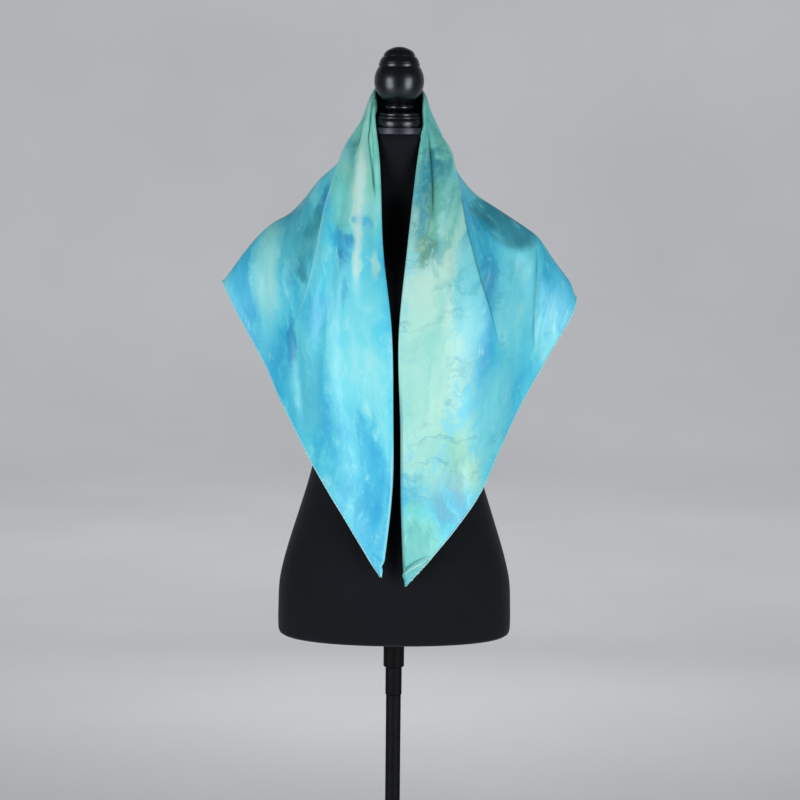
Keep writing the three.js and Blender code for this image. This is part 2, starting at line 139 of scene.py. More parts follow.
def placed_grid(name: str, points: Array, uv: Array | None = None, marks: Array | None = None) -> Piece:
    """Makes a mesh from a flat grid whose points are then placed and welded.

    Args:
        name: Name of the piece.
        points: Places in mm, by column, row and axis.
        uv: UV places by column and row, if the finish follows the surface.
        marks: Painted highlight (above 0) and painted shade (below 0) along edges, by column and row.

    Returns:
        The new object.
    """
    columns, rows = points.shape[:2]
    bm = bmesh.new()
    bmesh.ops.create_grid(bm, x_segments=columns - 1, y_segments=rows - 1, size=1.0)
    spots = [(round((v.co.x + 1) / 2 * (columns - 1)), round((v.co.y + 1) / 2 * (rows - 1))) for v in bm.verts]
    bm.verts.index_update()
    if uv is not None:
        layer = bm.loops.layers.uv.new("cloth")
        for face in bm.faces:
            for loop in face.loops:
                loop[layer].uv = uv[spots[loop.vert.index]]
    if marks is not None:
        pressed = bm.verts.layers.float.new("pressed")
        for v, spot in zip(bm.verts, spots):
            v[pressed] = marks[spot]
    for v, spot in zip(bm.verts, spots):
        v.co = points[spot] * MM
    bmesh.ops.remove_doubles(bm, verts=bm.verts, dist=2e-6)
    return finished(name, bm)


def linked(name: str, data: bpy.types.ID) -> Piece:
    """Puts data in the scene as an object at the origin."""
    piece = bpy.data.objects.new(name, data)
    bpy.context.scene.collection.objects.link(piece)
    return piece


def finished(name: str, bm: bmesh.types.BMesh) -> Piece:
    """Turns a bmesh into a smooth-shaded object at the origin."""
    for face in bm.faces:
        face.smooth = True
    mesh = bpy.data.meshes.new(name)
    bm.to_mesh(mesh)
    bm.free()
    return linked(name, mesh)


def turned(name: str, profile: list[tuple[float, float]], steps: int = 96) -> Piece:
    """Spins a profile about the upright axis.

    Args:
        name: Name of the piece.
        profile: Radius and height pairs in mm, from low to high; a closed piece ends on the axis.
        steps: Sides of the turned shape.

    Returns:
        The piece.
    """
    bm = bmesh.new()
    verts = [bm.verts.new((r * MM, 0, z * MM)) for r, z in profile]
    edges = [bm.edges.new(pair) for pair in zip(verts, verts[1:])]
    bmesh.ops.spin(bm, geom=verts + edges, cent=(0, 0, 0), axis=(0, 0, 1), angle=2 * math.pi,
                   steps=steps, use_merge=True)
    bmesh.ops.remove_doubles(bm, verts=bm.verts, dist=1e-6)
    bmesh.ops.recalc_face_normals(bm, faces=bm.faces)
    piece = finished(name, bm)
    piece.data.set_sharp_from_angle(angle=SHARP_BEND)
    return piece


def arcs(turns: list[Triple], cuts: int = 7) -> list[tuple[float, float]]:
    """Profile of arcs from rows of radius, height and bulge of the arc that leads to the row."""
    points = [turns[0][:2]]
    for (r0, z0, _), (r1, z1, bulge) in zip(turns, turns[1:]):
        length = math.hypot(r1 - r0, z1 - z0)
        across = ((z1 - z0) / length, -(r1 - r0) / length)
        count = cuts if abs(bulge) > 0.05 else 1
        for k in range(1, count + 1):
            s = k / count
            push = 4 * bulge * s * (1 - s)
            points.append((max(0.0, r0 + (r1 - r0) * s + across[0] * push), z0 + (z1 - z0) * s + across[1] * push))
    return points


def eased_rod(name: str, r: float, low: float, high: float, edge: float, steps: int = 72) -> Piece:
    """Builds an upright round rod with eased ends."""
    return turned(name, arcs([(0, low, 0), (r - edge, low, 0), (r, low + edge, edge * 0.28), (r, high - edge, 0),
                              (r - edge, high, edge * 0.28), (0, high, 0)]), steps)


def keep(piece: Piece, material: Finish, slot: str, *nodes: str) -> Piece:
    """Dresses a piece, lets it ride on the body and stand for its solids."""
    piece.data.materials.clear()
    piece.data.materials.append(material)
    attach(piece, BODY)
    if nodes:
        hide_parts(*nodes)
    LOG.info("%s: %d faces", piece.name, len(piece.data.polygons))
    return piece


def linear(rgb: Triple) -> tuple[float, float, float, float]:
    """Linear colour of an sRGB one given in 0..255."""
    def channel(c: float) -> float:
        """One channel, made linear."""
        c /= 255
        return c / 12.92 if c <= 0.04045 else ((c + 0.055) / 1.055) ** 2.4
    return (*(channel(c) for c in rgb), 1.0)


class Bench:
    """Adds and wires the shader nodes of one material."""

    def __init__(self, name: str) -> None:
        """Starts an empty material of that name."""
        self.material = bpy.data.materials.new(name)
        self.material.use_nodes = True
        self.tree = self.material.node_tree
        self.tree.nodes.clear()

    def add(self, kind: str, inputs: dict | None = None, **settings: object) -> bpy.types.Node:
        """Adds a node.

        Args:
            kind: Node type without its ShaderNode prefix.
            inputs: Sockets or values by input name or index.
            settings: Properties of the node.

        Returns:
            The node.
        """
        node = self.tree.nodes.new("ShaderNode" + kind)
        for key, value in settings.items():
            setattr(node, key, value)
        for key, value in (inputs or {}).items():
            if isinstance(value, Socket):
                self.tree.links.new(value, node.inputs[key])
            else:
                node.inputs[key].default_value = value
        return node

    def uv(self) -> Socket:
        """Cloth place in metres from the fold's middle, from the UV map."""
        node = self.add("UVMap", uv_map="cloth")
        return self.vector("MULTIPLY_ADD", node.outputs[0], (UV_SPAN, UV_SPAN, 0), (-UV_SPAN / 2, -UV_SPAN / 2, 0))

    def place(self) -> Socket:
        """Object coordinates in metres."""
        return self.add("TexCoord").outputs["Object"]

    def vector(self, operation: str, *values: object) -> Socket:
        """Vector maths on sockets or values."""
        node = self.add("VectorMath", dict(enumerate(values)), operation=operation)
        return node.outputs["Value" if operation in ("LENGTH", "DOT_PRODUCT") else "Vector"]

    def maths(self, operation: str, *values: object) -> Socket:
        """Maths on sockets or values."""
        return self.add("Math", dict(enumerate(values)), operation=operation).outputs[0]

    def noise(self, at: Socket, scale: float, detail: float = 4, rough: float = 0.55, out: str = "Fac") -> Socket:
        """Noise read at a place."""
        settings = {"Vector": at, "Scale": scale, "Detail": detail, "Roughness": rough}
        return self.add("TexNoise", settings).outputs[out]

    def bands(self, at: Socket, scale: float, direction: str, warp: float, detail: float = 2.0) -> Socket:
        """Even bands across a direction."""
        settings = {"Vector": at, "Scale": scale, "Distortion": warp, "Detail": detail}
        return self.add("TexWave", settings, wave_type="BANDS", bands_direction=direction).outputs["Fac"]

    def step(self, value: Socket, low: float, high: float, to: float = 1.0) -> Socket:
        """Smooth step from 0 at low to a value at high; low may be above high."""
        ends = (high, low, to, 0.0) if low > high else (low, high, 0.0, to)
        return self.add("MapRange", dict(enumerate((value, *ends))), interpolation_type="SMOOTHSTEP").outputs[0]

    def ramp(self, value: Socket, stops: tuple[tuple[float, tuple], ...]) -> Socket:
        """Colour ramp through sRGB stops."""
        node = self.add("ValToRGB", {0: value})
        elements = node.color_ramp.elements
        while len(elements) < len(stops):
            elements.new(0.5)
        for element, (spot, rgb) in zip(elements, stops):
            element.position = spot
            element.color = linear(rgb)
        return node.outputs[0]

    def mix(self, share: object, a: object, b: object) -> Socket:
        """Mix of two colours."""
        return self.add("Mix", {0: share, 6: a, 7: b}, data_type="RGBA").outputs[2]

    def bump(self, height: Socket, distance: float, strength: float = 1.0, normal: Socket | None = None) -> Socket:
        """Bump from a height, in metres at height 1."""
        inputs = {"Height": height, "Distance": distance, "Strength": strength}
        if normal is not None:
            inputs["Normal"] = normal
        return self.add("Bump", inputs).outputs[0]

    def surface(self, **inputs: object) -> Finish:
        """Ends the material in one shader.

        Args:
            inputs: Shader inputs, spaces in their names written as underscores.

        Returns:
            The material.
        """
        shader = self.add("BsdfPrincipled", {k.replace("_", " "): v for k, v in inputs.items()})
        end = self.add("OutputMaterial")
        self.tree.links.new(shader.outputs[0], end.inputs[0])
        return self.material


class Bath(Enum):
    """Colour sets that the silk took up as dyes, light to dark colours of each; the last set is a painted shadow,
    and some dyed sets also serve for painted shade or highlight in ZONES.
    """

    MINT = ((178, 244, 228), (140, 233, 215), (98, 204, 192))
    PALE = ((212, 247, 230), (188, 242, 224), (152, 228, 216))
    LIME = ((196, 242, 214), (166, 230, 204), (120, 206, 182))
    AZURE = ((86, 208, 240), (56, 188, 232), (36, 160, 218))
    BLUE = ((64, 178, 222), (40, 150, 208), (24, 118, 184))
    AQUA = ((158, 238, 242), (120, 228, 240), (84, 210, 232))
    OLIVE = ((108, 174, 138), (66, 128, 98), (44, 92, 66))
    TEAL = ((82, 190, 196), (44, 150, 170), (24, 112, 142))
    # Not a dyed colour: painted shadow for cloth kept in shade by the finial and the collar
    SHADE = ((16, 46, 42), (10, 32, 30), (6, 22, 22))


@dataclass(frozen=True)
class DyeZone:
    """A broad soft area of one dyed colour, or of painted shade or highlight, by hem distance, strand share and
    radii in mm; slant in degrees.
    """

    bath: Bath
    along: float
    share: float
    long: float
    wide: float
    strength: float
    crisp: float = 1.0
    slant: float = 0.0
    under: bool = False
    soft: float = 0.375

    def centre(self) -> Triple:
        """Cloth place in metres."""
        u, w = on_cloth(self.along, self.share)
        return float(u) * MM, float(w) * MM * (-1 if self.under else 1), 0.0


@dataclass(frozen=True)
class Crease:
    """Short soft crease from one hem distance and share to another; its last number above 0 paints shade along it,
    below 0 paints a highlight.
    """

    along0: float
    share0: float
    along1: float
    share1: float
    wide: float
    rise: float
    bow: float = 0.0
    ink: float = 0.0

    def ends(self) -> tuple[Array, Array]:
        """Cloth places of both ends in mm."""
        return np.array(on_cloth(self.along0, self.share0)), np.array(on_cloth(self.along1, self.share1))


@dataclass(frozen=True)
class SilkDye:
    """Satin silk, dyed by melting ice: soft zones, feathered edges and dark pools; some zones, the creases and the
    folded edges carry painted shade and highlights.
    """

    name: str = "dyed_silk"
    pale: float = 0.0
    roughness: float = 0.38
    zones: tuple[DyeZone, ...] = ()
    creases: tuple[Crease, ...] = ()

    GROUND = ((0.38, (42, 168, 222)), (0.45, (58, 192, 232)), (0.5, (82, 214, 240)), (0.55, (108, 226, 242)),
              (0.63, (150, 238, 244)))
    # Colours of the painted shade and painted highlight along the creases
    CREASE_SHADE, CREASE_LIGHT = (16, 92, 96), (214, 250, 246)
    # Colours of the painted shade and painted highlight along the tuck crests and the folded edges
    EDGE_SHADE, EDGE_LIGHT = (16, 84, 86), (158, 240, 250)
    VEIN, FROST, WORN = (52, 164, 186), (196, 245, 242), (196, 240, 240)
    VEIN_SHARE, FROST_SHARE, EDGE_SHARE = 0.36, 0.35, 0.75
    ZONE_REACH = 0.925  # share of a zone's radii where its edge is half strong

    def inked(self, b: Bench, cloth: Socket, colour: Socket) -> Socket:
        """Paints shade along the creases that hold shade, and a painted highlight along those that catch light."""
        for c in self.creases:
            start, end = (place * MM for place in c.ends())
            run = end - start
            length = float(np.hypot(*run))
            rel = b.vector("SUBTRACT", cloth, (*start, 0))
            s = b.vector("DOT_PRODUCT", rel, (*(run / length**2), 0))
            off = b.vector("DOT_PRODUCT", rel, (-run[1] / length, run[0] / length, 0))
            arch = b.maths("MULTIPLY", s, b.maths("SUBTRACT", 1.0, s))
            off = b.maths("ABSOLUTE", b.maths("MULTIPLY_ADD", arch, -4 * c.bow * MM, off))
            mask = b.maths("MULTIPLY", b.step(off, c.wide * MM, 0.0), b.step(s, -0.1, 0.25))
            mask = b.maths("MULTIPLY", mask, b.step(s, 1.1, 0.75, abs(c.ink)))
            colour = b.mix(mask, colour, linear(self.CREASE_SHADE if c.ink > 0 else self.CREASE_LIGHT))
        return colour

    def material(self) -> Finish:
        """Builds the material."""
        b = Bench(self.name)
        cloth = b.uv()
        broad = b.vector("SUBTRACT", b.noise(cloth, 4.2, 5, 0.6, out="Color"), (0.5, 0.5, 0.5))
        fine = b.vector("SUBTRACT", b.noise(cloth, 24, 5, 0.66, out="Color"), (0.5, 0.5, 0.5))
        warped = b.vector("MULTIPLY_ADD", broad, (0.07, 0.07, 0), cloth)
        warped = b.vector("MULTIPLY_ADD", fine, (0.03, 0.03, 0), warped)
        tone = b.noise(warped, 5.0, 5, 0.55)
        streaks = b.noise(b.vector("MULTIPLY", warped, (4.5, 19.0, 1.0)), 1.0, 5, 0.6)
        feather = b.noise(b.vector("MULTIPLY", warped, (26.0, 58.0, 1.0)), 1.0, 7, 0.72)
        level = b.maths("MULTIPLY_ADD", tone, 0.46, b.maths("MULTIPLY", streaks, 0.32))
        level = b.maths("MULTIPLY_ADD", feather, 0.22, level)
        colour = b.ramp(level, self.GROUND)
        edge = b.maths("ADD", b.maths("MULTIPLY", b.maths("SUBTRACT", feather, 0.5), 1.9),
                       b.maths("MULTIPLY", b.maths("SUBTRACT", streaks, 0.5), 1.3))
        # Zones of dyed colour, some of them painted shade or highlight (noted in ZONES)
        for zone in self.zones:
            away = b.vector("SUBTRACT", warped, zone.centre())
            if zone.slant:
                away = b.add("VectorRotate", {"Vector": away, "Angle": math.radians(-zone.slant)},
                             rotation_type="Z_AXIS").outputs[0]
            away = b.vector("LENGTH", b.vector("MULTIPLY", away, (1 / (zone.long * MM), 1 / (zone.wide * MM), 0)))
            away = b.maths("MULTIPLY_ADD", edge, zone.crisp, away)
            share = b.step(away, self.ZONE_REACH + zone.soft, self.ZONE_REACH - zone.soft, zone.strength)
            light, middle, dark = zone.bath.value
            shade = b.ramp(level, ((0.4, dark), (0.5, middle), (0.6, light)))
            colour = b.mix(share, colour, shade)
        across = b.vector("MULTIPLY", b.vector("MULTIPLY_ADD", fine, (0.05, 0.05, 0), cloth), (22.0, 7.0, 1.0))
        veins = b.maths("ABSOLUTE", b.maths("SUBTRACT", b.noise(across, 1.0, 4, 0.6), 0.5))
        where = b.maths("MULTIPLY", b.step(b.noise(cloth, 9, 3), 0.46, 0.6),
                        b.step(b.vector("DOT_PRODUCT", cloth, (1, 0, 0)), 0.02, 0.2))
        veins = b.maths("MULTIPLY", b.step(veins, 0.04, 0.0), where)
        colour = b.mix(b.maths("MULTIPLY", veins, self.VEIN_SHARE), colour, linear(self.VEIN))
        colour = b.mix(b.step(feather, 0.55, 0.7, self.FROST_SHARE), colour, linear(self.FROST))
        # Painted shade and painted highlights along the creases
        colour = self.inked(b, cloth, colour)
        # Painted highlight and painted shade along the tuck crests and the folded edges, read from a per-point mesh
        # value
        pressed = b.add("Attribute", attribute_name="pressed").outputs["Fac"]
        colour = b.mix(b.step(pressed, 0.15, 0.9, self.EDGE_SHARE), colour, linear(self.EDGE_LIGHT))
        colour = b.mix(b.step(pressed, -0.15, -0.9, self.EDGE_SHARE), colour, linear(self.EDGE_SHADE))
        # Mixes the colour toward a paler one, for the rolled hems
        if self.pale:
            colour = b.mix(self.pale, colour, linear(self.WORN))
        normal = b.bump(b.noise(cloth, 46), 0.0011, 0.5)
        bias = math.sqrt(0.5)
        turned_weave = b.vector("MULTIPLY", cloth, (bias, bias, 0))
        normal = b.bump(b.bands(turned_weave, 900, "DIAGONAL", 0.4), 0.00005, 0.25, normal)
        return b.surface(Base_Color=colour, Roughness=self.roughness, Normal=normal, Sheen_Weight=0.25,
                         Sheen_Roughness=0.35, Specular_IOR_Level=0.55, Anisotropic=0.3)


@dataclass(frozen=True)
class Jersey:
    """Matt blue-black jersey of the form's cover."""

    def material(self) -> Finish:
        """Builds the material."""
        b = Bench("black_jersey")
        at = b.place()
        colour = b.ramp(b.noise(at, 9, 5, 0.6), ((0.3, (6, 9, 15)), (0.7, (11, 14, 22))))
        normal = b.bump(b.noise(at, 900, 3), 0.0003, 0.35)
        normal = b.bump(b.bands(at, 420, "X", 1.5, 1.0), 0.00012, 0.3, normal)
        return b.surface(Base_Color=colour, Roughness=0.88, Normal=normal, Sheen_Weight=0.12,
                         Sheen_Roughness=0.4, Specular_IOR_Level=0.25)


@dataclass(frozen=True)
class Coating:
    """Lacquer, powder coat or satin metal with a fine uneven skin."""

    name: str
    low: Triple
    high: Triple
    roughness: float
    grain: float
    grain_depth: float
    metallic: float = 0.0
    shine: float = 0.5
    glint: tuple[float, float, float, float] = (1.0, 1.0, 1.0, 1.0)

    def material(self) -> Finish:
        """Builds the material."""
        b = Bench(self.name)
        at = b.place()
        colour = b.ramp(b.noise(at, 22, 4), ((0.35, self.low), (0.65, self.high)))
        rough = b.maths("MULTIPLY_ADD", b.noise(at, 60, 3), 0.14, self.roughness - 0.07)
        normal = b.bump(b.noise(at, self.grain, 2), self.grain_depth, 0.4)
        return b.surface(Base_Color=colour, Roughness=rough, Normal=normal, Metallic=self.metallic,
                         Specular_IOR_Level=self.shine, Specular_Tint=self.glint)


@dataclass
class DressForm:
    """Limbless body of the form: stacked sections, a soft bust, flat neck and underside."""

    round_power: float = 0.92
    bust_x: float = 60
    bust_z: float = 1128
    bust_wide: float = 42
    bust_high: float = 46
    bust_out: float = 13
    cloth_clear: float = 4.8
    ball_clear: float = 2.7
    ring_top: float = 1416
    around: int = 160

    # Height, half width, depth to the front, depth to the back
    SECTIONS = np.array([
        (675, 157, 98, 106), (678, 161.5, 102, 110), (686, 163.5, 104, 113), (715, 163.5, 106, 116),
        (750, 162, 107, 117), (780, 156, 106, 115), (815, 146, 102, 110), (850, 135, 97, 102),
        (900, 120, 90, 92), (955, 108, 84, 86), (1005, 104, 82, 84), (1055, 110, 88, 88),
        (1095, 122, 98, 92), (1130, 133, 104, 95), (1165, 146, 96, 97), (1195, 160, 77, 92),
        (1214, 168, 60, 84), (1229, 165, 49, 73), (1242, 153, 43, 62), (1254, 136, 40, 55),
        (1266, 115, 39, 51), (1278, 94, 38, 48), (1294, 73, 39, 47), (1314, 55, 38, 44),
        (1340, 42, 36.5, 40), (1376, 36, 35, 37)], float)

    def section_at(self, z: Array) -> Array:
        """Half width, front and back depth at heights."""
        z = np.clip(z, TORSO_LOW, NECK_TOP)
        flat = through(self.SECTIONS[:, 0], self.SECTIONS[:, 1:], np.ravel(z))
        return flat.reshape(*np.shape(z), 3)

    def bust_at(self, x: Array, z: Array) -> Array:
        """Extra depth of the bust."""
        total = np.zeros(np.broadcast(x, z).shape)
        for side in (-1, 1):
            total += bell(x - side * self.bust_x, self.bust_wide) * bell(z - self.bust_z, self.bust_high)
        return self.bust_out * total

    def point(self, z: Array, angle: Array, shrink: Array) -> Array:
        """Skin points at heights and angles, drawn in toward the axis by a factor."""
        half, front, back = np.moveaxis(self.section_at(z), -1, 0)
        c, s = np.cos(angle), np.sin(angle)
        x = half * np.sign(c) * np.abs(c) ** self.round_power
        y = np.where(s > 0, back, front) * np.sign(s) * np.abs(s) ** self.round_power
        y = np.where(s < 0, y + self.bust_at(x, z) * s, y)
        return np.stack([x * shrink, y * shrink, z + 0 * x], axis=-1)

    def clear(self, p: Array) -> Array:
        """Pushes cloth points clear of the ball, the band and the body."""
        p = p.copy()
        ball = p - np.array([0, 0, BALL_Z])
        away = np.linalg.norm(ball, axis=-1)
        near = away < BALL_R + self.ball_clear
        p[near] += ball[near] * ((BALL_R + self.ball_clear) / away[near] - 1)[:, None]
        x, y, z = p[..., 0], p[..., 1], p[..., 2]
        zone = ~near & (z > NECK_TOP - 6) & (z < self.ring_top)
        reach = np.maximum(1e-6, np.hypot(x, y))
        # The finial's rings step in above the band
        least = BAND_R + self.ball_clear - 3 * smooth(1388, 1400, z) - 14 * smooth(1402, self.ring_top, z)
        low = zone & (reach < least)
        p[low, :2] *= (least[low] / reach[low])[:, None]
        body = ~near & ~zone & (z <= NECK_TOP) & (z >= TORSO_LOW)
        half, front, back = np.moveaxis(self.section_at(z), -1, 0)
        a = half + self.cloth_clear
        d = np.where(y > 0, back, front + self.bust_at(x, z)) + self.cloth_clear
        q = 2 / self.round_power
        size = np.abs(x / a) ** q + np.abs(y / d) ** q
        inside = body & (size < 1) & (size > 1e-6)
        p[inside, :2] *= (size[inside] ** (-1 / q))[:, None]
        return p

    def build(self) -> Piece:
        """Builds the covered body."""
        body = np.concatenate([np.linspace(a, b, 5)[:-1] for a, b in zip(self.SECTIONS[:, 0], self.SECTIONS[1:, 0])])
        heights = np.concatenate([np.full(6, TORSO_LOW), body, np.full(5, NECK_TOP)])
        shrink = np.concatenate([np.linspace(0, 0.97, 6), np.ones(len(body)), [1, 0.97, 0.7, 0.35, 0]])
        angle = np.linspace(0, 2 * math.pi, self.around + 1)
        angle[-1] = 0
        grid = np.meshgrid(angle, np.arange(len(heights)), indexing="ij")
        rows = grid[1].astype(int)
        points = self.point(heights[rows], grid[0], shrink[rows])
        return placed_grid("form_body", points)


@dataclass(frozen=True)
class Tuck:
    """Overlap of the front panel on the shoulder cloth; its path is rows of share and hem distance."""

    path: tuple[tuple[float, float], ...]
    side: int
    wide: float
    lap: float
    rise: float
    far: float
    start: float
    full: float
    wane: float
    end: float
    # Strength of the painted highlight (above 0) and painted shade (below 0) along the crest
    mark: float = 0.0

    def at(self, shares: Array) -> Array:
        """Hem distances of the overlap at strand shares."""
        rows = np.array(self.path)
        return through(rows[:, 0], rows[:, 1:], np.clip(shares, rows[0, 0], rows[-1, 0]))[:, 0]


@dataclass(frozen=True)
class Fold:
    """Soft fold down a strand: rise outward, lean sideways at its crest."""

    along: float
    wide: float
    rise: float
    lean: float
    start: float
    full: float
    wane: float
    end: float


def fade(f: Tuck | Fold, t: Array) -> Array:
    """Share of a fold at strand shares."""
    return smooth(f.start, f.full, t) * (1 - smooth(f.wane, f.end, t))


# Hem distance, then points that the strand passes
STRANDS = (
    (0, ((-30, 22, 1441), (-34, -6, 1408), (-27, -44, 1335), (-22, -92, 1223), (-9, -123, 1112), (-6, -123, 1000),
        (-6, -120, 900), (-18.2, -124, 776))),
    (105, ((-31, 23, 1440), (-38, -7, 1402), (-40, -46, 1328), (-48, -95, 1218), (-52, -119, 1110),
        (-50, -119, 1000), (-54, -116, 920), (-70, -108, 859))),
    (200, ((-32, 24, 1439), (-42, -7, 1398), (-55, -42, 1322), (-76, -83, 1215), (-90, -107, 1110),
        (-96, -104, 1030), (-103, -92, 978), (-115, -76, 930))),
    (285, ((-33, 25, 1438), (-47, -5, 1396), (-57, -15, 1366), (-67, -28, 1336), (-87, -56, 1266), (-103, -82, 1178),
        (-124, -84, 1105), (-142, -62, 1045), (-154, -44, 1001))),
    (370, ((-33, 27, 1437), (-50, 3, 1395), (-66, -3, 1362), (-77, -10, 1331), (-118, -30, 1253), (-152, -46, 1190),
        (-172, -38, 1128), (-191, -16, 1073))),
    (482, ((-33, 28, 1436), (-52, 14, 1393), (-67, 9, 1366), (-80, 6, 1340), (-111, 9, 1309), (-135, 9, 1277),
        (-150, 9, 1263), (-171, 8, 1251), (-192, 7, 1233), (-212, 7, 1210), (-242, 15, 1169))),
    (567, ((-32, 31, 1435), (-47, 29, 1391), (-76, 32, 1336), (-134, 36, 1268), (-182, 38, 1208), (-206, 58, 1118))),
    (687, ((-27, 36, 1434), (-39, 42, 1389), (-68, 56, 1325), (-118, 72, 1247), (-146, 88, 1150), (-160, 98, 1030))),
    (820, ((-20, 40, 1433), (-29, 50, 1388), (-52, 71, 1312), (-82, 94, 1215), (-98, 104, 1090), (-108, 117, 925))),
    (954, ((-10, 43, 1432), (-15, 54, 1386), (-28, 78, 1308), (-43, 101, 1200), (-52, 106, 1050), (-54, 112, 930),
        (-60, 127, 815))),
    (1100, ((0, 44, 1432), (0, 56, 1385), (0, 80, 1305), (0, 102, 1200), (0, 103, 1010), (0, 117, 850),
        (0, 129, 775), (0, 131, 700))),
    (1246, ((10, 43, 1432), (15, 54, 1386), (28, 78, 1308), (43, 101, 1200), (52, 106, 1050), (54, 112, 930),
        (60, 127, 812))),
    (1380, ((20, 40, 1433), (29, 50, 1388), (52, 71, 1312), (82, 94, 1215), (98, 104, 1090), (108, 117, 920))),
    (1513, ((27, 36, 1433), (39, 42, 1389), (66, 56, 1325), (118, 72, 1247), (148, 88, 1150), (162, 98, 1025))),
    (1633, ((32, 30, 1433), (45, 29, 1392), (68, 33, 1340), (130, 38, 1266), (186, 40, 1206), (212, 54, 1108))),
    (1721, ((33, 27, 1433), (45, 14, 1404), (59, 10, 1375), (72, 6, 1343), (95, 9, 1301), (140, 9, 1271),
        (180, 8, 1245), (190, 8, 1238), (198, 8, 1229), (219, 7, 1199), (243, 6, 1168), (253, 9, 1151))),
    (1830, ((33, 25, 1434), (45, 3, 1396), (69, -5, 1338), (99, -22, 1269), (146, -40, 1214), (176, -38, 1136),
        (200, -20, 1056))),
    (1900, ((33, 24, 1435), (44, -2, 1396), (65, -14, 1344), (90, -38, 1270), (120, -66, 1190), (145, -72, 1100),
        (168, -42, 1001))),
    (1965, ((32, 23, 1436), (42, -5, 1396), (61, -22, 1336), (78, -51, 1262), (97, -80, 1180), (118, -92, 1100),
        (135, -84, 1010), (141, -68, 946))),
    (2030, ((31, 23, 1437), (40, -7, 1397), (52, -38, 1330), (67, -80, 1220), (80, -106, 1120), (93, -112, 1010),
        (106, -104, 930), (115, -96, 891))),
    (2110, ((31, 22, 1438), (36, -7, 1398), (39, -45, 1328), (43, -95, 1215), (44, -120, 1105), (50, -120, 985),
        (60, -119, 890), (74, -116, 834))),
    (2200, ((30, 21, 1439), (34.3, -7, 1400), (26, -48, 1322), (15.5, -92, 1223), (5, -123, 1104), (8.5, -121, 980),
        (10, -120, 880), (15, -124, 764))),
)
# The last number of the first two tucks paints a highlight (left, above 0) and a shade (right, below 0) along the
# crest
TUCKS = (
    Tuck(((0.2, 305), (0.33, 302), (0.4, 302), (0.5, 298), (0.62, 298), (0.7, 302), (0.76, 312), (0.85, 325),
          (1, 335)), 1, 8, 10.5, 14, 75, 0.13, 0.3, 0.62, 0.88, 1.0),
    Tuck(((0.2, 1945), (0.32, 1942), (0.4, 1945), (0.52, 1938), (0.62, 1937), (0.7, 1927), (0.8, 1920),
          (1, 1925)), -1, 7, 8, 11, 60, 0.13, 0.28, 0.6, 0.86, -0.8),
    Tuck(((0.2, 1862), (0.4, 1858), (0.52, 1846), (0.7, 1830)), -1, 9, 5, 6, 60, 0.14, 0.28, 0.38, 0.56),
)
# Hem distance, width, rise, lean, and the shares where a fold starts, is full, wanes and ends
FOLDS = tuple(Fold(*row) for row in (
    (45, 22, -3, 0, 0.04, 0.12, 0.2, 0.5), (90, 26, 3, 0, 0.05, 0.14, 0.3, 0.7),
    (165, 34, 5, 1, 0.08, 0.22, 0.5, 0.95), (240, 28, -3, 0, 0.2, 0.42, 0.7, 1.1),
    (345, 30, -5, 0, 0.2, 0.4, 0.8, 1.2), (430, 30, 3, 0, 0.4, 0.65, 0.85, 1.2),
    (612, 38, 12, -5, 0.36, 0.75, 1.1, 1.3), (735, 43, 23, -10, 0.2, 0.58, 1.1, 1.3),
    (880, 45, 28, -9, 0.17, 0.55, 1.1, 1.3), (1022, 42, 24, -4, 0.17, 0.55, 1.1, 1.3),
    (1176, 44, 25, 5, 0.17, 0.55, 1.1, 1.3), (1325, 46, 28, 9, 0.17, 0.55, 1.1, 1.3),
    (1470, 43, 22, 10, 0.2, 0.58, 1.1, 1.3), (1592, 38, 12, 6, 0.36, 0.75, 1.1, 1.3),
    (1775, 26, 4, 0, 0.5, 0.62, 0.8, 1.1), (2060, 32, 3.5, 0, 0.1, 0.25, 0.5, 0.95),
    (2140, 24, -3, 0, 0.12, 0.2, 0.3, 0.5),
))
# Hem distance and share of each end, width, rise, bow, painted shading: above 0 painted shade along the valley,
# below 0 a painted highlight along the ridge
CREASES = tuple(Crease(*row) for row in (
    (45, 0.07, 118, 0.2, 4, -5.5, 0, 0.6), (118, 0.19, 58, 0.3, 4, -5, 0, 0.6),
    (150, 0.08, 170, 0.21, 4.4, 4, 0, -0.4), (240, 0.1, 215, 0.26, 4.8, -5.5, 0, 0.35), (18, 0.1, 28, 0.27, 5, 3),
    (157, 0.19, 114, 0.54, 8, 4, 0, -0.65), (2072, 0.16, 2092, 0.37, 4, -6, 0, 0.6), (2125, 0.14, 2120, 0.38, 6, 3),
    (1787, 0.463, 1745, 0.762, 9, 3, -40), (1766, 0.489, 1726, 0.745, 20, -4, -21),
    (1751, 0.757, 1834, 0.93, 5.4, -3, -3, 0.5), (330, 0.79, 235, 0.97, 7, -4), (470, 0.66, 400, 0.78, 12, -3, 8),
    (2020, 0.93, 2120, 0.84, 7, -1.4, 6), (2200, 0.973, 2155, 0.992, 2.4, -0.6, 2.7, 0.65),
    (2200, 0.979, 2160, 0.998, 2.0, 0.6, 2.7, -0.5),
))
# Creases whose colour carries painted shade or a painted highlight
INKED = tuple(crease for crease in CREASES if crease.ink)
